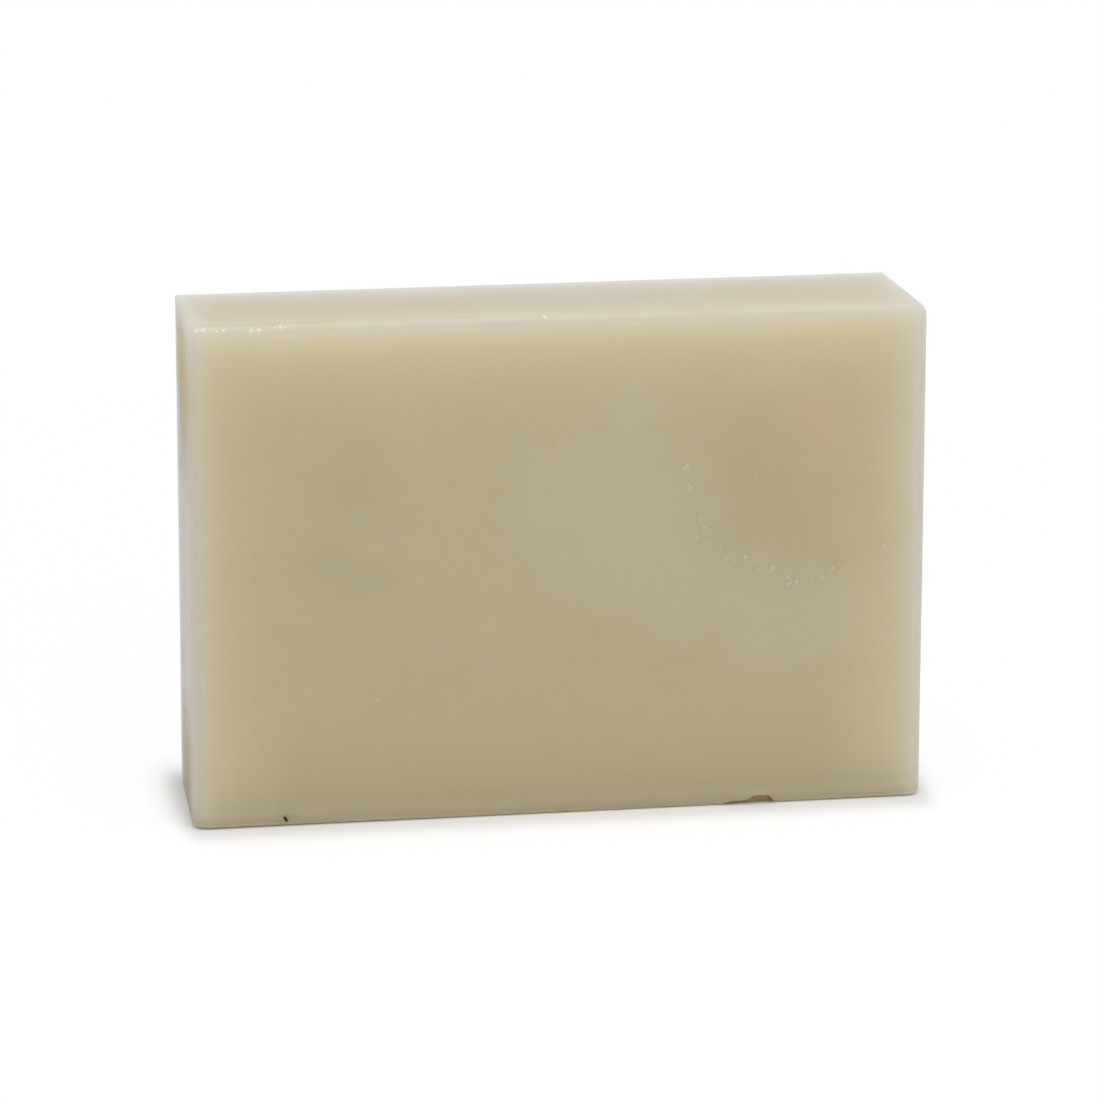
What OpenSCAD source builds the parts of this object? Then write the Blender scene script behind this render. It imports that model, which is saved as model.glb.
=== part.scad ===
// Bar of soap, cast in a tray and rubbed smooth by hand.
// It stands on one of its long narrow sides. The origin is on the surface it stands on,
// under the middle of the bar: +X to the right along its length, +Y to its back, +Z up.
// All lengths are in millimetres.

/* [Bar] */
// Length of the front face
bar_length = 90; // [60:0.5:120]
// Height, from the foot it stands on to the top of the front face
bar_height = 62; // [40:0.5:90]
// Thickness, from the front face to the back face
bar_thickness = 22; // [14:0.5:40]

/* [Taper from the mould] */
// How far each end of the back face sits inside the same end of the front face
end_taper = 0.7; // [0:0.1:2]
// How far the top falls towards the back
top_fall = 0.4; // [0:0.1:2]
// How far the left end leans inwards at the top
left_lean = 0.2; // [0:0.1:2]

/* [Softened edges] */
// Radius of the rubbed top and upright edges of the front face
rub_radius = 1.8; // [0.8:0.1:4]
// Radius of the edge between the front face and the foot
foot_radius = 0.8; // [0.3:0.1:0.8]
// Radius of the crisp edges of the back face
back_radius = 0.4; // [0.2:0.1:0.8]

/* [Chip in the foot edge] */
// Distance of the chip's blunt end from the right end of the bar
chip_from_right = 18.3; // [8:0.1:30]
// Length of the chip along the edge
chip_length = 6.5; // [3:0.1:12]
// Length of the blunt end, where the chip closes again
chip_close = 1.5; // [0.5:0.1:2.5]
// Height and depth of the chip where it is largest
chip_radius = 1.4; // [0.6:0.1:3]

/* [Pinhole] */
// Distance of the pinhole from the left end of the bar
pinhole_from_left = 11.1; // [5:0.1:25]
// Height of the pinhole's mouth above the foot
pinhole_height = 1.1; // [1:0.1:10]
// Diameter of the pinhole
pinhole_d = 0.4; // [0.2:0.1:1.2]
// How far the pinhole runs into the bar, along its own slant
pinhole_run = 2.2; // [0.5:0.1:5]
// Slant of the pinhole away from straight in, which draws its mouth out long
pinhole_slant = 62; // [0:1:70]
// Turn of the long mouth away from upright
pinhole_turn = 34; // [0:1:90]

/* [Hidden] */

soap_colour = [0.70, 0.65, 0.52];
corner_steps = 40;

LEFT = -1;
RIGHT = 1;
FRONT = 0;
BACK = 1;
FOOT = 0;
TOP = 1;

front_y = -bar_thickness / 2;
chip_start_x = bar_length / 2 - chip_from_right - chip_length;
chip_tip_radius = chip_radius / 10;

// Radius of a corner seen from above, and seen from the side
function turn_radius(face) = face == FRONT ? rub_radius : back_radius;
function rim_radius(face, level) = face == BACK ? back_radius : level == TOP ? rub_radius : foot_radius;

// Where the sharp corner of the bar would be before its edges are softened
function sharp_corner(side, face, level) = [
    side * (bar_length / 2 - end_taper * face) + (side == LEFT ? left_lean * level : 0),
    front_y + bar_thickness * face,
    level * (bar_height - top_fall * face)
];

// A disc with a rounded rim, a ball when both radii are the same
module rounded_corner(turn, rim) {
    rotate_extrude($fn = corner_steps)
        intersection() {
            translate([turn - rim, 0])
                circle(r = rim, $fn = corner_steps);
            translate([0, -rim])
                square([turn, 2 * rim]);
        }
}

// The corner form, moved in from the sharp corner so that it touches the three faces there
module placed_corner(side, face, level) {
    turn = turn_radius(face);
    rim = rim_radius(face, level);
    inward = [-side * turn, face == FRONT ? turn : -turn, level == TOP ? -rim : rim];
    translate(sharp_corner(side, face, level) + inward)
        rounded_corner(turn, rim);
}

// The whole bar before it was knocked, stretched over its eight soft corners
module cast_block() {
    hull()
        for (side = [LEFT, RIGHT], face = [FRONT, BACK], level = [FOOT, TOP])
            placed_corner(side, face, level);
}

// The flake knocked off the foot edge: a sliver that grows to the right and ends bluntly
module chip() {
    growing = chip_length - chip_close;
    translate([chip_start_x, front_y, 0])
        rotate([0, 90, 0]) {
            cylinder(h = growing, r1 = chip_tip_radius, r2 = chip_radius, $fn = 48);
            translate([0, 0, growing])
                cylinder(h = chip_close, r1 = chip_radius, r2 = chip_tip_radius, $fn = 48);
        }
}

// The track of an air bubble, running up into the bar at a slant
module pinhole() {
    translate([-bar_length / 2 + pinhole_from_left, front_y, pinhole_height])
        rotate([0, -pinhole_turn, 0])
            rotate([pinhole_slant - 90, 0, 0])
                translate([0, 0, -pinhole_run])
                    cylinder(h = 2 * pinhole_run, d = pinhole_d, $fn = 24);
}

module soap_bar() {
    color(soap_colour)
        difference() {
            cast_block();
            chip();
            pinhole();
        }
}

soap_bar();
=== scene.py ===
# A bar of soap standing on one of its long narrow sides, on a white table under soft light.
import math
import random

import bmesh
import bpy
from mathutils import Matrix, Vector, noise


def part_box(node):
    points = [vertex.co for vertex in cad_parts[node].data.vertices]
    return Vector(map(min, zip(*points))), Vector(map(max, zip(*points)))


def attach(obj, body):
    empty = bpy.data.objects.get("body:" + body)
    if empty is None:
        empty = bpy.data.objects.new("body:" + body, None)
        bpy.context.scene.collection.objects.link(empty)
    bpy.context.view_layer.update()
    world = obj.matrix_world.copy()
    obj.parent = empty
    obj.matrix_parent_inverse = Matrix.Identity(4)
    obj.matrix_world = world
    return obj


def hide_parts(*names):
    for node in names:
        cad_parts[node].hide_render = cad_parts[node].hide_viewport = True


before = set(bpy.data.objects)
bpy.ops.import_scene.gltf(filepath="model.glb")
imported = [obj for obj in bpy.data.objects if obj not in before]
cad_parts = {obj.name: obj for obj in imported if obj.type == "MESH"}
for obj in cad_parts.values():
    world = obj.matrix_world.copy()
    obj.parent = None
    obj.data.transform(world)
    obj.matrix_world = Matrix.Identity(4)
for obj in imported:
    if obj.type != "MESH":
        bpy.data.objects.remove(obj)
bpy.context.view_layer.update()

MM = 0.001


# The camera
# A long lens about 0.65 m off, turned a little to the bar's left and looking down on it,
# so that the front, the top and a narrow strip of the left end show.
AIM = Vector((0.4, 0.0, 30.4)) * MM
LOOKS_FROM_LEFT = math.radians(9.53)
LOOKS_DOWN = math.radians(13.99)
CAMERA_DISTANCE = 647.5 * MM
SENSOR = 36.0
LENS = 172.95

camera = bpy.data.objects.new("camera", bpy.data.cameras.new("camera"))
camera.data.sensor_width = SENSOR
camera.data.lens = LENS
camera.rotation_euler = (math.pi / 2 - LOOKS_DOWN, 0.0, -LOOKS_FROM_LEFT)
sight = Vector((
    math.sin(LOOKS_FROM_LEFT) * math.cos(LOOKS_DOWN),
    math.cos(LOOKS_FROM_LEFT) * math.cos(LOOKS_DOWN),
    -math.sin(LOOKS_DOWN),
))
camera.location = AIM - CAMERA_DISTANCE * sight
bpy.context.collection.objects.link(camera)
bpy.context.scene.camera = camera


# The cast bar
# Hard soap poured into a tray, turned out and stood on a long narrow side. The edges of its
# front face were rubbed round by hand, and the edges of the back face were left crisp.
bar_low, bar_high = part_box("soap_bar")
LENGTH, THICKNESS, HEIGHT = (bar_high - bar_low) / MM
FRONT_FACE = -THICKNESS / 2
END_TAPER = 0.7
TOP_FALL = 0.4
LEFT_LEAN = 0.2
RUB_RADIUS = 1.8
FOOT_RADIUS = 0.8
BACK_RADIUS = 0.3
ARC_STEPS = 8
CELL = 0.6


def sharp_corner(side, face, level):
    """A corner of the bar before rubbing.

    side is -1 left or 1 right, face 0 front or 1 back, and level 0 foot or 1 top.
    """
    lean = LEFT_LEAN * level if side < 0 else 0.0
    return Vector((
        side * (LENGTH / 2 - END_TAPER * face) + lean,
        FRONT_FACE + THICKNESS * face,
        level * (HEIGHT - TOP_FALL * face),
    ))


def softness(face, level):
    """Radius of a corner seen from above, and seen from the side."""
    if face:
        return BACK_RADIUS, BACK_RADIUS
    return RUB_RADIUS, RUB_RADIUS if level else FOOT_RADIUS


def stations(span):
    """Steps across one direction of the bar: round one edge, over the flat, round the other."""
    bend = [math.tan(math.pi / 4 * a / ARC_STEPS) for a in range(1, ARC_STEPS + 1)]
    cells = round(span / CELL)
    return (
        [(0.0, -b) for b in reversed(bend)]
        + [(c / cells, 0.0) for c in range(cells + 1)]
        + [(1.0, b) for b in bend]
    )


def skin_point(across, back, up):
    """A point of the rubbed bar and its outward direction, from one station in each direction."""
    outward = Vector((across[1], back[1], up[1])).normalized()
    level_part = Vector((outward.x, outward.y, 0.0))
    if level_part.length:
        level_part.normalize()
    centre, turn, rim = Vector(), 0.0, 0.0
    for side in (0, 1):
        for face in (0, 1):
            for level in (0, 1):
                share = (
                    (across[0] if side else 1 - across[0])
                    * (back[0] if face else 1 - back[0])
                    * (up[0] if level else 1 - up[0])
                )
                if share:
                    t, r = softness(face, level)
                    way = 2 * side - 1
                    inward = Vector((-way * t, -t if face else t, -r if level else r))
                    centre += share * (sharp_corner(way, face, level) + inward)
                    turn += share * t
                    rim += share * r
    return centre + (turn - rim) * level_part + rim * outward, outward


def cast_bar():
    """The whole skin of the bar as a closed net of small four-sided faces."""
    grids = [stations(LENGTH), stations(THICKNESS), stations(HEIGHT)]
    last = [len(g) - 1 for g in grids]
    mesh = bmesh.new()
    found = {}

    def corner(i, j, k):
        if (i, j, k) not in found:
            point, outward = skin_point(grids[0][i], grids[1][j], grids[2][k])
            worn = point - worn_away(point, outward) * outward
            found[i, j, k] = mesh.verts.new(worn * MM)
        return found[i, j, k]

    for axis in range(3):
        a, b = (axis + 1) % 3, (axis + 2) % 3
        for end in (0, last[axis]):
            for m in range(last[a]):
                for n in range(last[b]):
                    ring = []
                    for dm, dn in ((0, 0), (1, 0), (1, 1), (0, 1)):
                        index = [0, 0, 0]
                        index[axis], index[a], index[b] = end, m + dm, n + dn
                        ring.append(corner(*index))
                    mesh.faces.new(ring if end else ring[::-1])
    made = bpy.data.meshes.new("cast_soap")
    mesh.to_mesh(made)
    mesh.free()
    return bpy.data.objects.new("cast_soap", made)


# The hand-rubbed surface
# Rubbing with a wet thumb leaves shallow waves in the faces and takes a little more off the
# edges in places. The foot wore more towards its ends. Soap is only ever taken away.
WAVE_DEPTH = 0.06
WAVE_SIZE = 19.0
RIPPLE_DEPTH = 0.02
RIPPLE_SIZE = 4.5
RIPPLE_PLACE = Vector((40, 0, 0))
EDGE_WEAR = 0.07
EDGE_WEAR_SIZE = 6.0
EDGE_WEAR_PLACE = Vector((0, 70, 0))
FOOT_WEAR = 0.10
FOOT_FACES_DOWN = (0.2, 0.8)
FOOT_MIDDLE = 12.0
FOOT_FLAT = 5.0


def ramp(value, low, high):
    """0 up to low, 1 from high on, and a soft change between. low may be above high."""
    share = min(max((value - low) / (high - low), 0.0), 1.0)
    return share * share * (3 - 2 * share)


def worn_away(point, outward):
    """How much soap is missing at a point of the skin, in millimetres."""
    wave = 0.5 + 0.5 * noise.noise(point / WAVE_SIZE)
    ripple = 0.5 + 0.5 * noise.noise(point / RIPPLE_SIZE + RIPPLE_PLACE)
    flatness = max(abs(outward.x), abs(outward.y), abs(outward.z))
    edge = (1 - flatness) / (1 - math.sqrt(0.5))
    wear = 0.5 + 0.5 * noise.noise(point / EDGE_WEAR_SIZE + EDGE_WEAR_PLACE)
    under = ramp(-outward.z, *FOOT_FACES_DOWN)
    crown = ramp(abs(point.x - FOOT_MIDDLE), FOOT_FLAT, LENGTH / 2)
    faces = (WAVE_DEPTH * wave + RIPPLE_DEPTH * ripple) * (1 - under)
    return faces + EDGE_WEAR * min(edge, 1.0) * wear + FOOT_WEAR * under * crown


soap = cast_bar()
bpy.context.collection.objects.link(soap)


# The chip in the foot edge
# A long flake broke out of the front foot edge near its right end when the bar was knocked on
# something hard. It left a hollow that starts thin, deepens to the right and ends in a step.
CHIP_OUTLINE = (
    (19.9, 0.10, 0.50), (20.4, 0.37, 0.75), (21.2, 0.48, 0.80), (22.2, 0.56, 0.80),
    (23.3, 0.70, 0.85), (23.75, 1.04, 0.90), (24.7, 1.12, 0.95), (25.7, 1.08, 0.95),
    (25.95, 0.92, 0.90), (26.25, 0.58, 0.80), (26.6, 0.10, 0.50),
)
CHIP_STEPS = 42
CHIP_SIDES = 28
CHIP_ROUGHNESS = 0.14
CHIP_ROUGH_TALL = 0.8
CHIP_THIN = 0.2
CHIP_LUMPS = 1.6
CHIP_LUMPS_PLACE = Vector((3, 9, 4))
CHIP_GRAIN = 4.5
CHIP_GRAIN_SHARE = 0.4
CHIP_SLOT, PINHOLE_SLOT, NICK_SLOT = 1, 2, 3


def between(rows, where):
    """The row of a table at any place of its first column."""
    for low, high in zip(rows, rows[1:]):
        if where <= high[0]:
            share = (where - low[0]) / (high[0] - low[0])
            return [a + share * (b - a) for a, b in zip(low, high)]
    return list(rows[-1])


def lofted(mesh, rings, slot):
    """A closed body through rings of points, with its faces in one material slot."""
    made = [[mesh.verts.new(p * MM) for p in ring] for ring in rings]
    sides = len(made[0])
    faces = [mesh.faces.new(made[0][::-1]), mesh.faces.new(made[-1])]
    for near, far in zip(made, made[1:]):
        for s in range(sides):
            t = (s + 1) % sides
            faces.append(mesh.faces.new((near[s], near[t], far[t], far[s])))
    for face in faces:
        face.material_index = slot


def chip_rings():
    """Rings round the foot edge that bound the broken flake.

    A row of the outline is a place along the bar, and the hollow's height and depth there.
    """
    rings = []
    first, last = CHIP_OUTLINE[0][0], CHIP_OUTLINE[-1][0]
    for step in range(CHIP_STEPS + 1):
        x, tall, deep = between(CHIP_OUTLINE, first + (last - first) * step / CHIP_STEPS)
        roughness = CHIP_ROUGHNESS * min(tall, CHIP_ROUGH_TALL)
        ring = []
        for s in range(CHIP_SIDES):
            angle = 2 * math.pi * s / CHIP_SIDES
            away = Vector((x, deep * math.cos(angle), tall * math.sin(angle)))
            rough = roughness * noise.noise(away * CHIP_LUMPS + CHIP_LUMPS_PLACE)
            rough += CHIP_GRAIN_SHARE * roughness * noise.noise(away * CHIP_GRAIN)
            grown = 1 + rough / max(tall, CHIP_THIN)
            ring.append(Vector((x, FRONT_FACE + away.y * grown, away.z * grown)))
        rings.append(ring)
    return rings


cut = bmesh.new()
lofted(cut, chip_rings(), CHIP_SLOT)


# The pinhole
# A burst air bubble near the left end of the foot. It is a narrow slanting slot that narrows
# as it runs down and into the paste, and it is dark inside.
PINHOLE_TOP = Vector((-33.95, 1.10))
PINHOLE_BOTTOM = Vector((-33.68, 0.66))
PINHOLE_TOP_HALF = 0.26
PINHOLE_BOTTOM_HALF = 0.10
PINHOLE_DRIFT = Vector((0.18, 0.10))
PINHOLE_SIDES = 20
PINHOLE_RINGS = (
    (-1.2, 1.0), (0.12, 1.0), (0.45, 0.92), (0.95, 0.75), (1.4, 0.5), (1.7, 0.22),
)


def pinhole_rings():
    """Rings along the bubble's track, each at its depth and with its share of the full size."""
    rings = []
    run = PINHOLE_BOTTOM - PINHOLE_TOP
    down = run.normalized()
    sideways = Vector((-run.y, run.x)).normalized()
    for depth, size in PINHOLE_RINGS:
        ring = []
        for s in range(PINHOLE_SIDES):
            angle = -2 * math.pi * s / PINHOLE_SIDES
            along = 0.5 - 0.5 * math.cos(angle)
            half = (PINHOLE_TOP_HALF + (PINHOLE_BOTTOM_HALF - PINHOLE_TOP_HALF) * along) * size
            place = PINHOLE_TOP + run * (0.5 + (along - 0.5) * size)
            place += half * (math.sin(angle) * sideways - math.cos(angle) * down)
            place += PINHOLE_DRIFT * max(depth, 0)
            ring.append(Vector((place.x, FRONT_FACE + depth, place.y)))
        rings.append(ring)
    return rings


lofted(cut, pinhole_rings(), PINHOLE_SLOT)


# The nicks along the top edge
# Small scoops that a fingernail left in the front top edge, most of them near the left end.
# Their bottoms are smooth, so they shine, and their paste is coloured pale as a painted
# highlight.
NICKS = (
    (-43.66, 0.41, 0.20, 48), (-42.84, 0.37, 0.19, 47), (-41.15, 0.22, 0.11, 40),
    (-40.40, 0.28, 0.10, 42), (-37.15, 0.24, 0.15, 38), (-36.20, 0.28, 0.16, 39),
    (-34.25, 0.19, 0.11, 48), (-33.62, 0.30, 0.24, 50), (-33.05, 0.15, 0.10, 49),
    (-1.9, 0.24, 0.20, 58),
)
NICK_SIDES = 12
NICK_STEPS = 8
NICK_BLUNT_END = 0.04
NICK_BREADTH = 1.4
NICK_SUNK = 0.05
CORNER_START = -LENGTH / 2 + LEFT_LEAN + RUB_RADIUS


def nick_rings(x, half, deep, lifted):
    """Rings along one scoop, with its place along the bar, half length and depth.

    lifted is how far up the rounded top edge it sits, in degrees.
    """
    slope = math.radians(lifted)
    up = Vector((0.0, -math.cos(slope), math.sin(slope)))
    over = Vector((0.0, math.sin(slope), math.cos(slope)))
    bulge = math.sqrt(RUB_RADIUS ** 2 - max(CORNER_START - x, 0.0) ** 2)
    middle = Vector((x, FRONT_FACE + RUB_RADIUS, HEIGHT - RUB_RADIUS)) + up * (bulge - NICK_SUNK)
    rings = []
    for step in range(NICK_STEPS + 1):
        lat = math.pi * (NICK_BLUNT_END + (1 - 2 * NICK_BLUNT_END) * step / NICK_STEPS)
        size = deep * math.sin(lat)
        ring = []
        for s in range(NICK_SIDES):
            angle = 2 * math.pi * s / NICK_SIDES
            ring.append(
                middle + Vector((-half * math.cos(lat), 0, 0))
                + over * (NICK_BREADTH * size * math.cos(angle))
                + up * (size * math.sin(angle))
            )
        rings.append(ring)
    return rings


for nick in NICKS:
    lofted(cut, nick_rings(*nick), NICK_SLOT)

bmesh.ops.recalc_face_normals(cut, faces=cut.faces)
cutter = bpy.data.objects.new("breaks", bpy.data.meshes.new("breaks"))
cut.to_mesh(cutter.data)
cut.free()
bpy.context.collection.objects.link(cutter)


# The soap paste
# Cold-process soap is a waxy, slightly clear paste. Light goes some way in, so the thin edges
# glow paler. The paste set unevenly, which leaves it a little cloudy and grainy.
PASTE = (0.473, 0.402, 0.247)
PASTE_LIGHT = (0.487, 0.416, 0.259)
PASTE_BROWN = (0.458, 0.387, 0.234)
LIGHT_REACH = 28 * MM
LIGHT_COLOURS = (1.0, 1.05, 1.3)
SOAP_IOR = 1.45
CLOUD_SIZE = 13
CLOUD_SHARE = 0.6
SPECK_SIZE = 1.8
SPECK_SHARE = 0.4
GRAIN_SIZE = 0.45
CLOUD_MIDDLE = 0.5
CLOUD_LIGHT = 0.72
CLOUD_BROWN = 0.28


def join(tree, value, socket):
    """Feed a socket from another socket, or set it."""
    if isinstance(value, bpy.types.NodeSocket):
        tree.links.new(value, socket)
    elif hasattr(value, "__len__") and len(value) == 3 and socket.type == "RGBA":
        socket.default_value = (*value, 1.0)
    else:
        socket.default_value = value


def add(tree, kind, **settings):
    """A shader node, with its own settings and its inputs given by name."""
    made = tree.nodes.new("ShaderNode" + kind)
    for name, value in settings.items():
        if hasattr(made, name):
            setattr(made, name, value)
        else:
            join(tree, value, made.inputs[name.replace("_", " ")])
    return made


def calc(tree, operation, *values):
    """One step of arithmetic on numbers or sockets."""
    made = tree.nodes.new("ShaderNodeMath")
    made.operation = operation
    for socket, value in zip(made.inputs, values):
        join(tree, value, socket)
    return made.outputs[0]


def fade(tree, value, low, high, bottom=0.0, top=1.0):
    """A soft change from bottom to top as value goes from low to high."""
    made = add(tree, "MapRange", interpolation_type="SMOOTHSTEP", Value=value,
               From_Min=low, From_Max=high, To_Min=bottom, To_Max=top)
    return made.outputs[0]


def blended(tree, share, first, second):
    """Two colours mixed by a share."""
    made = tree.nodes.new("ShaderNodeMix")
    made.data_type = "RGBA"
    join(tree, share, made.inputs[0])
    join(tree, first, made.inputs[6])
    join(tree, second, made.inputs[7])
    return made.outputs[2]


def group(name, inputs, outputs):
    """An empty shader node group with named inputs and outputs, and its two end nodes."""
    made = bpy.data.node_groups.new(name, "ShaderNodeTree")
    for label, kind, value in inputs:
        socket = made.interface.new_socket(
            label, in_out="INPUT", socket_type="NodeSocket" + kind)
        socket.default_value = value
    for label, kind in outputs:
        made.interface.new_socket(label, in_out="OUTPUT", socket_type="NodeSocket" + kind)
    given = made.nodes.new("NodeGroupInput").outputs
    sent = made.nodes.new("NodeGroupOutput").inputs
    return made, given, sent


def place_in_mm(tree):
    """The place on the bar in millimetres, as a socket."""
    made = tree.nodes.new("ShaderNodeVectorMath")
    made.operation = "MULTIPLY"
    join(tree, add(tree, "TexCoord").outputs["Object"], made.inputs[0])
    join(tree, (1 / MM, 1 / MM, 1 / MM), made.inputs[1])
    return made.outputs["Vector"]


def new_material(name):
    """A material with an empty node tree, and the tree."""
    made = bpy.data.materials.new(name)
    made.use_nodes = True
    made.node_tree.nodes.clear()
    return made, made.node_tree


cloud, given, sent = group(
    "uneven_paste",
    [
        ("Place", "Vector", (0, 0, 0)),
        ("Plain", "Color", (*PASTE, 1)),
        ("Light", "Color", (*PASTE_LIGHT, 1)),
        ("Brown", "Color", (*PASTE_BROWN, 1)),
    ],
    [("Color", "Color"), ("Cloud", "Float"), ("Grain", "Float")],
)
broad = add(cloud, "TexNoise", Vector=given["Place"], Scale=1 / CLOUD_SIZE,
            Detail=3.0, Roughness=0.55)
specks = add(cloud, "TexNoise", Vector=given["Place"], Scale=1 / SPECK_SIZE,
             Detail=2.0, Roughness=0.6)
grain = add(cloud, "TexNoise", Vector=given["Place"], Scale=1 / GRAIN_SIZE,
            Detail=1.0, Roughness=0.6)
uneven = calc(
    cloud, "ADD",
    calc(cloud, "MULTIPLY", broad.outputs[0], CLOUD_SHARE),
    calc(cloud, "MULTIPLY", specks.outputs[0], SPECK_SHARE),
)
lighter = fade(cloud, uneven, CLOUD_MIDDLE, CLOUD_LIGHT)
browner = fade(cloud, uneven, CLOUD_MIDDLE, CLOUD_BROWN)
colour = blended(cloud, lighter, given["Plain"], given["Light"])
colour = blended(cloud, browner, colour, given["Brown"])
cloud.links.new(colour, sent["Color"])
cloud.links.new(uneven, sent["Cloud"])
cloud.links.new(grain.outputs[0], sent["Grain"])


# The marks in the paste
# The paste set unevenly. At the top right is a clearer, browner round patch as wide as a
# thumb, a milky band sweeps past it from the top to the right, and a brown cloud with a small
# dark heart lies on the left.
PATCH_COLOUR = (0.460, 0.381, 0.215)
PATCH_DARK = (0.43, 0.37, 0.218)
PATCH_WARM = (0.49, 0.398, 0.232)
BAND_COLOUR = (0.472, 0.43, 0.286)
CLOUD_COLOUR = (0.415, 0.355, 0.212)
CLEAR_PATCH_SPOT = ((28.7, -11.0, 41.8), (13.8, 7.5, 14.8), 0.2, 0.45)
PATCH_DARK_SPOT = ((25.0, -11.0, 40.0), (8.5, 6.0, 10.0), 0.0, 0.1)
PATCH_WARM_SPOT = ((31.5, -11.0, 47.0), (6.5, 6.0, 9.5), 0.0, 0.1)
BAND_SPOTS = (
    ((9.5, -11.0, 34.2), (23.5, 8.0, 13.2), 0.5, 0.4),
    ((8.8, -11.0, 47.0), (5.0, 8.0, 10.0), 0.0, 0.2),
    ((28.0, -11.0, 24.5), (13.0, 8.0, 8.5), 0.1, 0.4),
)
BROWN_CLOUD_SPOT = ((-25.0, -11.0, 40.0), (10.5, 6.0, 14.5), 0.0, 0.0)
CLOUD_HEART_SPOT = ((-25.5, -11.0, 31.5), (9.0, 5.0, 5.0), 0.3, 0.0)
STIR_PUSH = 2.4
STIR_SIZE = 5.5
STIR_FINER = 2.3
STIR_FINER_SHARE = 0.5
STIR_SEED = 10
noise.seed_set(STIR_SEED)


def in_spot(point, centre, size, falls, core):
    """Strength at a point of a soft egg-shaped spot, 1 in its core and 0 from its rim on.

    size is its half sizes, falls the angle at which its long side falls to the right, and
    core how far out its full strength reaches, as a share of its size.
    """
    away = point - Vector(centre)
    along = away.x * math.cos(falls) - away.z * math.sin(falls)
    across = away.x * math.sin(falls) + away.z * math.cos(falls)
    far = math.sqrt(
        (along / size[0]) ** 2 + (away.y / size[1]) ** 2 + (across / size[2]) ** 2)
    return ramp(far, 1.0, core)


def stirred(point):
    """The point pushed about as stirring pushed the paste."""
    swirl = noise.noise_vector(point / STIR_SIZE)
    swirl += STIR_FINER_SHARE * noise.noise_vector(point * STIR_FINER / STIR_SIZE)
    return point + STIR_PUSH * swirl


def marks(point):
    """Strengths of the patch, its dark and warm sides, the band, the cloud and its heart."""
    moved = stirred(point)
    patch = in_spot(moved, *CLEAR_PATCH_SPOT)
    band = max(in_spot(moved, *spot) for spot in BAND_SPOTS)
    return {
        "clear_patch": patch,
        "patch_dark": in_spot(moved, *PATCH_DARK_SPOT),
        "patch_warm": in_spot(moved, *PATCH_WARM_SPOT),
        "milky_band": band * (1 - patch),
        "brown_cloud": in_spot(moved, *BROWN_CLOUD_SPOT),
        "cloud_heart": in_spot(moved, *CLOUD_HEART_SPOT),
    }


# The rubbed edges and the ends
# Rubbing whitened the rounded edges with a thin dry bloom, greyer where it thins out over the
# front face, and the paler edges are also painted glow, for light coming through the thin edges
# and for the highlight along the top edge. Below the top edge the front is painted paler as
# painted light, and towards the right edge darker as painted shade. Above the foot the paste is
# painted darker as painted shade, and at the foot and its very edge paler as painted light
# against the shade by the table. The left end was handled most: dull and brown at its top,
# polished in the middle, scuffed and stained low down.
# The two bloom colours are partly painted glow of the thin edges, over a real dry bloom.
GLOW_AND_BLOOM_TINT = (0.53, 0.50, 0.43)
INNER_GLOW_AND_BLOOM_TINT = (0.44, 0.415, 0.372)
# Painted shade towards the right edge.
RIGHT_SHADE_COLOUR = (0.40, 0.358, 0.235)
# Paler paste, which below the top edge is painted light.
PALE_COLOUR = (0.536, 0.462, 0.284)
# Painted light at the foot and its very edge, against the shade by the table.
FOOT_LIGHT_COLOUR = (0.64, 0.508, 0.305)
RIM_LIGHT_COLOUR = (0.84, 0.71, 0.44)
# Painted shade above the foot.
FOOT_SHADE_COLOUR = (0.461, 0.386, 0.224)
END_COLOUR = (0.51, 0.39, 0.175)
SCUFF_COLOUR = (0.62, 0.56, 0.40)
STAIN_COLOUR = (0.40, 0.345, 0.21)
LIP_COLOUR = (0.6, 0.545, 0.40)
DULL_TOP_SPOT = ((-45.0, 0.0, 57.0), (4.5, 14.0, 14.0), 0.0, 0.6)
DULL_FOOT_SPOT = ((-45.0, 0.0, 2.0), (4.5, 14.0, 13.0), 0.0, 0.6)
SHINY_SPOT = ((-45.0, 0.0, 28.0), (3.5, 30.0, 18.0), 0.0, 0.7)
BROWN_END_SPOT = ((-45.2, 1.2, 54.0), (3.4, 9.5, 11.0), 0.0, 0.35)
SCUFF_SPOT = ((-45.0, -1.0, 10.4), (2.0, 1.4, 2.7), 0.0, 0.4)
WET_STAIN_SPOT = ((-45.0, 2.0, 4.3), (5.0, 8.0, 3.8), 0.0, 0.3)
DRY_STAIN_SPOTS = (
    ((-45.0, 5.6, 8.8), (2.0, 2.6, 1.5), 0.0, 0.2),
    ((-45.0, -1.2, 37.0), (2.0, 1.5, 5.2), 0.0, 0.2),
)
LIP_SPOTS = (
    ((22.9, -11.0, 1.15), (1.5, 0.9, 0.45), 0.0, 0.2),
    ((24.8, -11.0, 1.45), (1.4, 0.9, 0.3), 0.0, 0.2),
    ((-34.25, -11.0, 0.62), (0.5, 0.8, 0.6), 0.0, 0.4),
)

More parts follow.
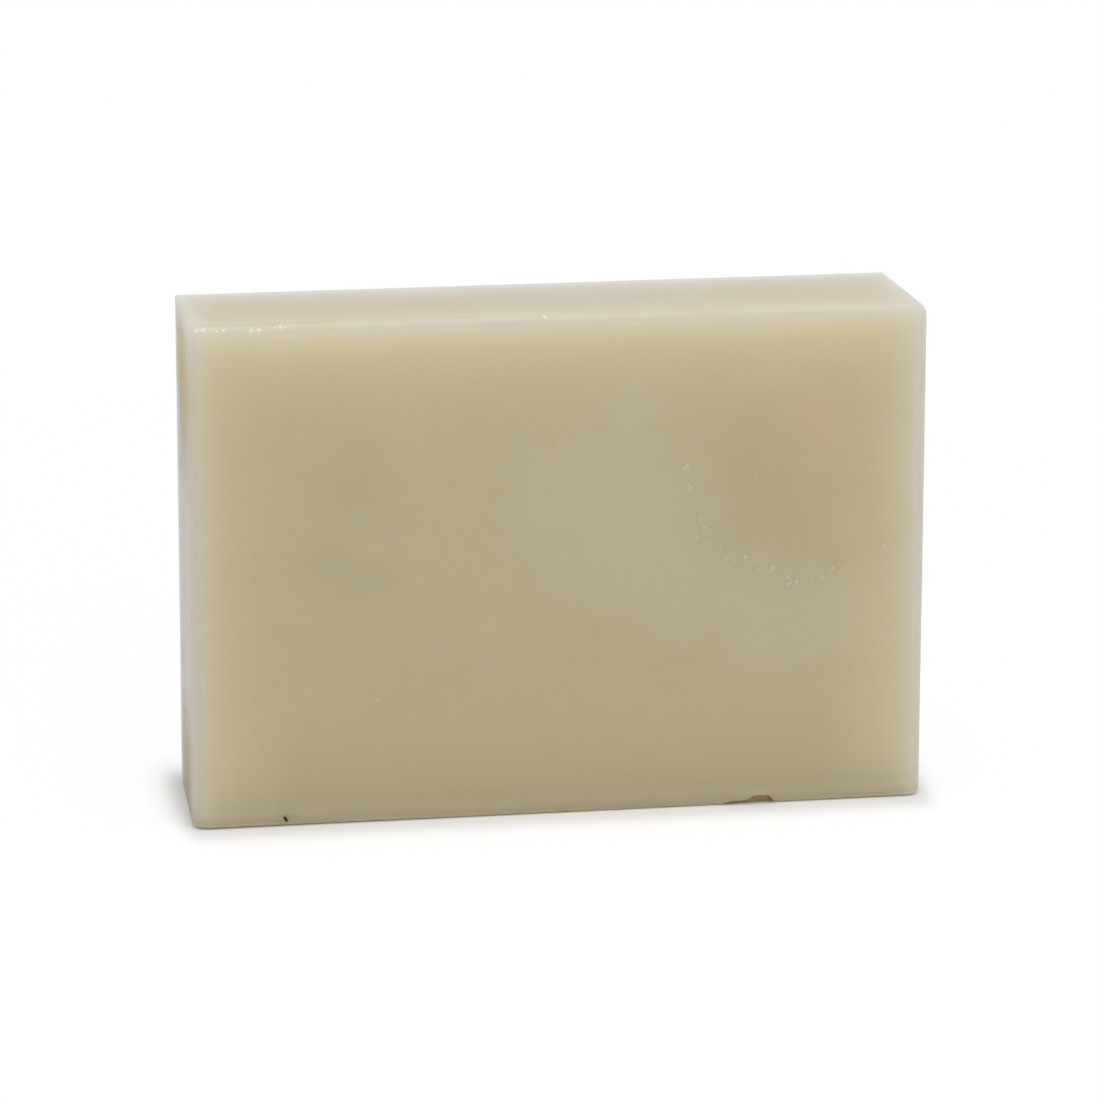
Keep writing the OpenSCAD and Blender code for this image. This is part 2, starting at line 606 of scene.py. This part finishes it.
# Each pair is where an effect begins and where it is full, in millimetres from its edge or,
# for the two halves, as a share of the way.
BELOW_TOP = (0.8, 2.6)
BLOOM = (2.9, 0.2)
BLOOM_RAGGED = 0.8
BLOOM_RAGGED_SIZE = 5.0
BACK_HALF = (0.5, 1.0)
OUTER_HALF = (0.15, 0.75)
OUTER_SAFE = 0.001
LEFT_THIN = (38.0, 43.0)
RIGHT_THIN = (37.0, 42.0)
BESIDE_END = (14.0, 8.0)
OFF_END = (1.5, 5.5)
LOW_LEFT = (18.0, 8.0)
LOW_RIGHT = (45.0, 8.0)
RIGHT_SHADE_REACH = (4.0, 1.0)
RIM_LIGHT_REACH = (0.9, 0.1)
TOP_LIGHT_REACH = (15.0, 1.0)
FOOT_LIGHT_REACH = (3.2, 0.3)
FOOT_SHADE_REACH = (15.0, 5.0)
TOP_ENDS = (12.0, 3.0)
FOOT_ENDS = (15.0, 2.0)

# Shares by which one effect takes away from another.
DULL_BLOOM_LOST = 0.9
BACK_BLOOM_LOST = 0.6
LEFT_BLOOM_LOST = 0.1
RIGHT_BLOOM_LOST = 0.25
ENDS_SPARED = 0.6
DULL_FOOT_SHARE = 0.8
DULL_POLISH_LOST = 0.9
PLAIN_POLISH = 0.36
END_POLISH = 0.33


def finish_of(point):
    """Strengths at a point of the bloom and painted glow, the pale sides, painted light and
    shade, stains and polish.
    """
    share = (point.y + THICKNESS / 2) / THICKNESS
    from_front = point.y - FRONT_FACE
    from_top = HEIGHT - TOP_FALL * share - point.z
    from_end = LENGTH / 2 - abs(point.x)
    from_sides = (from_end - END_TAPER * share, THICKNESS / 2 - abs(point.y), from_top)
    from_edge = sorted(from_sides)[1]
    outwards = from_front / (from_front + min(from_top, from_end) + OUTER_SAFE)
    moved = stirred(point)
    below_top = ramp(from_top, *BELOW_TOP)
    dull_top = below_top * in_spot(moved, *DULL_TOP_SPOT)
    dull_foot = in_spot(moved, *DULL_FOOT_SPOT)

    ragged = BLOOM_RAGGED * noise.noise(point / BLOOM_RAGGED_SIZE)
    # A real dry bloom, whose paleness is also painted glow for light coming through the thin
    # edges.
    bloom = ramp(from_edge + ragged, *BLOOM)
    bloom *= 1 - DULL_BLOOM_LOST * dull_top
    bloom *= 1 - BACK_BLOOM_LOST * ramp(share, *BACK_HALF)
    outer = ramp(outwards, *OUTER_HALF)
    thinner = LEFT_BLOOM_LOST * ramp(-point.x, *LEFT_THIN)
    thinner += RIGHT_BLOOM_LOST * ramp(point.x, *RIGHT_THIN)
    inner = bloom * (1 - outer) * (1 - thinner)

    beside_end = ramp(from_end, *BESIDE_END) * ramp(from_end, *OFF_END)
    low = ramp(point.z, *(LOW_RIGHT if point.x > 0 else LOW_LEFT))
    dry_stain = max(in_spot(point, *spot) for spot in DRY_STAIN_SPOTS)
    dull = max(dull_top, DULL_FOOT_SHARE * dull_foot, inner)
    polish = PLAIN_POLISH * (1 - DULL_POLISH_LOST * dull)
    return {
        "outer_bloom_and_painted_glow": bloom * outer,
        "inner_painted_glow_and_bloom": inner,
        "low_sides": beside_end * low,
        # Painted shade: the paste is coloured darker towards the right edge.
        "right_painted_shade": ramp(LENGTH / 2 - point.x, *RIGHT_SHADE_REACH),
        # Painted light: the very edge of the foot is coloured much paler, against the shade where
        # it meets the table.
        "painted_light_rim": ramp(point.z, *RIM_LIGHT_REACH),
        "brown_end": below_top * in_spot(moved, *BROWN_END_SPOT),
        # Painted light: the front is coloured paler below the top edge, for light coming in
        # through the top.
        "painted_light_top": ramp(from_top, *TOP_LIGHT_REACH) * (1 - ENDS_SPARED * ramp(from_end, *TOP_ENDS)),
        # Painted light: the lowest few millimetres are coloured paler, against the shade near the
        # table.
        "painted_light_foot": ramp(point.z, *FOOT_LIGHT_REACH),
        # Painted shade: the paste is coloured darker some millimetres above the foot, less near
        # the ends.
        "painted_shade_foot": ramp(point.z, *FOOT_SHADE_REACH) * (1 - ENDS_SPARED * ramp(from_end, *FOOT_ENDS)),
        "end_scuff": in_spot(point, *SCUFF_SPOT),
        "end_stain": max(dry_stain, in_spot(moved, *WET_STAIN_SPOT)),
        "bruised_lip": max(in_spot(point, *spot) for spot in LIP_SPOTS),
        "polish": polish + END_POLISH * in_spot(moved, *SHINY_SPOT),
    }


# The skin of the bar
# The same paste all over, rubbed to a low waxy shine. The marks, the stains, the bloom with its
# painted glow and the painted light and shade lie over each other in this order, each with its
# strength and its colour.
SKIN_LAYERS = (
    ("milky_band", 0.68, BAND_COLOUR),
    ("clear_patch", 0.6, PATCH_COLOUR),
    ("patch_dark", 0.45, PATCH_DARK),
    ("patch_warm", 0.75, PATCH_WARM),
    ("brown_cloud", 0.33, CLOUD_COLOUR),
    ("cloud_heart", 0.48, CLOUD_COLOUR),
    # Painted shade above the foot.
    ("painted_shade_foot", 1.0, FOOT_SHADE_COLOUR),
    ("brown_end", 0.8, END_COLOUR),
    ("end_stain", 0.25, STAIN_COLOUR),
    ("end_scuff", 0.7, SCUFF_COLOUR),
    # Painted light below the top edge.
    ("painted_light_top", 0.55, PALE_COLOUR),
    ("low_sides", 0.25, PALE_COLOUR),
    # Painted shade towards the right edge.
    ("right_painted_shade", 0.45, RIGHT_SHADE_COLOUR),
    # Partly painted glow of the thin edges, over a real dry bloom.
    ("inner_painted_glow_and_bloom", 0.6, INNER_GLOW_AND_BLOOM_TINT),
    ("outer_bloom_and_painted_glow", 0.6, GLOW_AND_BLOOM_TINT),
    # Painted light on the lowest part of the foot and on its very edge.
    ("painted_light_foot", 1.0, FOOT_LIGHT_COLOUR),
    ("painted_light_rim", 0.8, RIM_LIGHT_COLOUR),
    ("bruised_lip", 0.7, LIP_COLOUR),
)
DULL_ROUGHNESS = 0.46
POLISH_SMOOTHS = 0.3
CLOUD_ROUGHENS = 0.2
BLOOM_ROUGHENS = 0.25


def strength(tree, name):
    """A strength kept at the points of the mesh, as a socket."""
    return add(tree, "Attribute", attribute_name=name).outputs["Fac"]


skin, tree = new_material("soap_skin")
paste = add(tree, "Group", node_tree=cloud, Place=place_in_mm(tree))
colour = paste.outputs["Color"]
for name, amount, tint in SKIN_LAYERS:
    colour = blended(tree, calc(tree, "MULTIPLY", strength(tree, name), amount), colour, tint)
polish = strength(tree, "polish")
roughness = calc(
    tree, "ADD",
    calc(tree, "MULTIPLY", paste.outputs["Cloud"], CLOUD_ROUGHENS),
    calc(tree, "MULTIPLY_ADD", polish, -POLISH_SMOOTHS, DULL_ROUGHNESS),
)
roughness = calc(tree, "MULTIPLY_ADD", strength(tree, "inner_painted_glow_and_bloom"), BLOOM_ROUGHENS, roughness)
bump = add(tree, "Bump", Strength=0.12, Distance=0.1 * MM, Height=paste.outputs["Grain"])
shader = add(tree, "BsdfPrincipled", Base_Color=colour, Roughness=roughness, IOR=SOAP_IOR,
             Coat_Weight=polish, Coat_Roughness=0.22, Coat_IOR=SOAP_IOR,
             Subsurface_Weight=1.0, Subsurface_Scale=LIGHT_REACH,
             Subsurface_Radius=LIGHT_COLOURS, Normal=bump.outputs[0])
add(tree, "OutputMaterial", Surface=shader.outputs[0])


# Broken soap
# Inside the chip the paste was never rubbed: it is rough, and coloured darker as painted shade
# of the hollow. The pinhole is darker still. The nicks were pressed smooth, and their paste is
# coloured pale as a painted highlight. All are cut out of the bar here.
CREASE = math.radians(35)


def break_material(name, plain, light, brown, roughness, reach, grainy, clear=1.0):
    """Bare paste in three near colours. reach is how far light goes in, clear whether it does."""
    made, tree = new_material(name)
    paste = add(tree, "Group", node_tree=cloud, Place=place_in_mm(tree),
                Plain=plain, Light=light, Brown=brown)
    bump = add(tree, "Bump", Strength=grainy, Distance=0.15 * MM, Height=paste.outputs["Grain"])
    shader = add(tree, "BsdfPrincipled", Base_Color=paste.outputs["Color"],
                 Roughness=roughness, IOR=SOAP_IOR,
                 Subsurface_Weight=clear, Subsurface_Scale=reach,
                 Subsurface_Radius=LIGHT_COLOURS, Normal=bump.outputs[0])
    add(tree, "OutputMaterial", Surface=shader.outputs[0])
    return made


# The chip's dark paste is painted shade of the hollow.
chipped = break_material(
    "chip_paste_painted_shade", plain=(0.34, 0.24, 0.095), light=(0.43, 0.30, 0.12),
    brown=(0.24, 0.17, 0.065), roughness=0.6, reach=2 * MM, grainy=0.7)
hollow = break_material(
    "pinhole_dark", plain=(0.27, 0.165, 0.035), light=(0.32, 0.20, 0.045),
    brown=(0.21, 0.125, 0.025), roughness=0.7, reach=0.5 * MM, grainy=0.3)
# The nicks' pale paste is a painted highlight.
pressed = break_material(
    "nick_painted_glint", plain=(0.70, 0.655, 0.53), light=(0.76, 0.72, 0.60),
    brown=(0.64, 0.59, 0.46), roughness=0.3, reach=8 * MM, grainy=0.05)

for material in (skin, chipped, hollow, pressed):
    soap.data.materials.append(material)
    cutter.data.materials.append(material)
cutting = soap.modifiers.new("breaks", "BOOLEAN")
cutting.operation = "DIFFERENCE"
cutting.solver = "EXACT"
cutting.material_mode = "TRANSFER"
cutting.object = cutter
made = bpy.data.meshes.new_from_object(soap.evaluated_get(bpy.context.evaluated_depsgraph_get()))
soap.modifiers.clear()
soap.data = made
bpy.data.objects.remove(cutter)
made.shade_smooth()
made.set_sharp_from_angle(angle=CREASE)

# The strengths of the marks and of the finish are kept at the points of the mesh.
found = [{**marks(vert.co / MM), **finish_of(vert.co / MM)} for vert in made.vertices]
for name in found[0]:
    kept = made.attributes.new(name, "FLOAT", "POINT")
    kept.data.foreach_set("value", [at[name] for at in found])
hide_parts("soap_bar")
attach(soap, "root")


# The soda ash crumbs
# White crumbs of soda ash that dried on the face. Most lie in a broken row round the lower
# left side of the clear patch, and a few lie alone. They are sunk in the skin.
CRUMB_ROW = (
    (15.1, 43.4), (15.4, 40.6), (16.4, 38.0), (16.9, 34.8), (19.6, 32.2), (22.8, 30.7),
    (25.8, 29.6), (28.4, 28.2), (31.0, 27.8), (33.8, 29.4), (36.2, 30.2),
)
CRUMB_ROW_COUNT = 56
CRUMB_ROW_RIGHTWARD = 0.8
CRUMB_SPREAD = 0.45
CRUMB_LEAST = 0.10
CRUMB_MORE = 0.18
CRUMBS_ALONE = (
    (39.8, 32.0, 0.34), (40.3, 32.9, 0.20), (39.3, 31.2, 0.17), (35.4, 52.9, 0.22),
    (-22.5, 15.4, 0.26), (29.0, 27.9, 0.30), (15.1, 42.5, 0.24), (-0.5, 46.3, 0.20),
    (0.1, 47.4, 0.13), (11.2, 43.2, 0.11), (23.8, 41.5, 0.13), (26.0, 29.8, 0.30),
    (16.6, 34.0, 0.22), (-14.3, 15.9, 0.12), (36.6, 9.0, 0.16),
    (-34.28, 1.02, 0.11), (-34.16, 0.78, 0.08),
)
CRUMB_FLAT = 0.35
CRUMB_MOST_PROUD = 0.9
CRUMB_LUMPY = 0.35
CRUMB_LUMPS = 1.3

random.seed(5)
crumb_places = list(CRUMBS_ALONE)
for count in range(CRUMB_ROW_COUNT):
    share = random.random() ** CRUMB_ROW_RIGHTWARD * (len(CRUMB_ROW) - 1)
    low = min(int(share), len(CRUMB_ROW) - 2)
    spread = random.gauss(0, CRUMB_SPREAD), random.gauss(0, CRUMB_SPREAD)
    start, end = CRUMB_ROW[low], CRUMB_ROW[low + 1]
    x, z = (start[c] + (share - low) * (end[c] - start[c]) + spread[c] for c in (0, 1))
    crumb_places.append((x, z, CRUMB_LEAST + CRUMB_MORE * random.random() ** 2))

crumbs = bmesh.new()
for x, z, radius in crumb_places:
    sunk = worn_away(Vector((x, FRONT_FACE, z)), Vector((0, -1, 0)))
    proud = min(CRUMB_FLAT * radius, CRUMB_MOST_PROUD * sunk)
    for vert in bmesh.ops.create_icosphere(crumbs, subdivisions=2, radius=1.0)["verts"]:
        lumpy = 1 + CRUMB_LUMPY * noise.noise(vert.co * CRUMB_LUMPS + Vector((x, 0, z)))
        deep = proud if vert.co.y < 0 else 2 * proud
        vert.co = Vector((
            x + vert.co.x * radius * lumpy,
            FRONT_FACE + sunk + vert.co.y * deep,
            z + vert.co.z * radius * lumpy,
        )) * MM
ash = bpy.data.objects.new("soda_crumbs", bpy.data.meshes.new("soda_crumbs"))
crumbs.to_mesh(ash.data)
crumbs.free()
ash.data.shade_smooth()
bpy.context.collection.objects.link(ash)
ash.data.materials.append(break_material(
    "soda_ash", plain=(0.505, 0.455, 0.315), light=(0.53, 0.485, 0.345),
    brown=(0.475, 0.425, 0.285), roughness=0.6, reach=MM, grainy=0.2, clear=0.0))
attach(ash, "root")


# The table and the light
# A matt white table that keeps the bar's shadow close to the foot and runs out into the white
# backdrop a few millimetres further. A white tent stands all round, with one soft lamp
# overhead and a wide one in front, kept low enough that the pale soap keeps its colour.
TABLE_SIZE = 6.0
TABLE_DROP = 0.02 * MM
TABLE_COLOUR = (0.84, 0.85, 0.88)
WHITE = (1.0, 1.0, 1.0)
SHADOW_INSET = 1.0
END_SHADOW_NARROWER = 2.4
SHADOW_LIFT = 0.27
LIFT_REACH = 9.0
SHADOW_FULL = 2.5
SHADOW_FAINT = 15.0
SHADOW_HIDDEN = 0.9
TABLE_EDGE = (50.0, 250.0)
TENT_GLOW = 0.62
LAMP_AIM = Vector((0, 0, 30)) * MM

bpy.ops.mesh.primitive_plane_add(size=TABLE_SIZE, location=(0, 0, -TABLE_DROP))
table = bpy.context.object
table.name = "table"
paper, tree = new_material("white_table")
spot = add(tree, "SeparateXYZ", Vector=place_in_mm(tree))


def past(axis, half):
    """How far a place on the table lies outside the bar's foot along one axis, as a socket."""
    off = calc(tree, "SUBTRACT", calc(tree, "ABSOLUTE", spot.outputs[axis]), half - SHADOW_INSET)
    return calc(tree, "MAXIMUM", off, 0.0)


past_end = calc(tree, "MULTIPLY", past("X", LENGTH / 2), END_SHADOW_NARROWER)
past_face = past("Y", THICKNESS / 2)
away = calc(tree, "SQRT", calc(
    tree, "MULTIPLY_ADD", past_end, past_end, calc(tree, "MULTIPLY", past_face, past_face)))
matt = add(tree, "BsdfDiffuse", Color=TABLE_COLOUR)
lift = add(tree, "Emission", Color=WHITE,
           Strength=fade(tree, away, 0.0, LIFT_REACH, 0.0, SHADOW_LIFT))
near = add(tree, "AddShader")
tree.links.new(matt.outputs[0], near.inputs[0])
tree.links.new(lift.outputs[0], near.inputs[1])
plain = add(tree, "Emission", Color=WHITE, Strength=1.0)
hidden = calc(
    tree, "MAXIMUM",
    fade(tree, away, SHADOW_FULL, SHADOW_FAINT, 0.0, SHADOW_HIDDEN),
    fade(tree, away, *TABLE_EDGE),
)
floor = add(tree, "MixShader", Fac=hidden)
tree.links.new(near.outputs[0], floor.inputs[1])
tree.links.new(plain.outputs[0], floor.inputs[2])
shown = add(tree, "MixShader", Fac=add(tree, "LightPath").outputs["Is Camera Ray"])
tree.links.new(matt.outputs[0], shown.inputs[1])
tree.links.new(floor.outputs[0], shown.inputs[2])
add(tree, "OutputMaterial", Surface=shown.outputs[0])
table.data.materials.append(paper)

world = bpy.data.worlds.new("studio")
bpy.context.scene.world = world
world.use_nodes = True
tree = world.node_tree
tree.nodes.clear()
tent = add(tree, "Background", Color=WHITE, Strength=TENT_GLOW)
backdrop = add(tree, "Background", Color=WHITE, Strength=1.0)
seen = add(tree, "LightPath")
white = calc(tree, "MAXIMUM", seen.outputs["Is Camera Ray"], seen.outputs["Is Glossy Ray"])
mixed = add(tree, "MixShader", Fac=white)
tree.links.new(tent.outputs[0], mixed.inputs[1])
tree.links.new(backdrop.outputs[0], mixed.inputs[2])
add(tree, "OutputWorld", Surface=mixed.outputs[0])


def softbox(name, place, wide, tall, watts):
    """An oblong soft lamp turned to the bar. Its place and size are in metres."""
    lamp = bpy.data.objects.new(name, bpy.data.lights.new(name, "AREA"))
    lamp.data.shape = "RECTANGLE"
    lamp.data.size = wide
    lamp.data.size_y = tall
    lamp.data.energy = watts
    lamp.location = place
    lamp.rotation_euler = (LAMP_AIM - Vector(place)).to_track_quat("-Z", "Y").to_euler()
    bpy.context.collection.objects.link(lamp)


softbox("overhead_lamp", place=(0.0, -0.25, 0.9), wide=0.5, tall=0.5, watts=1.8)
softbox("front_lamp", place=(0.2, -1.28, 0.45), wide=2.0, tall=0.8, watts=7.2)

bpy.context.scene.view_settings.view_transform = "Standard"
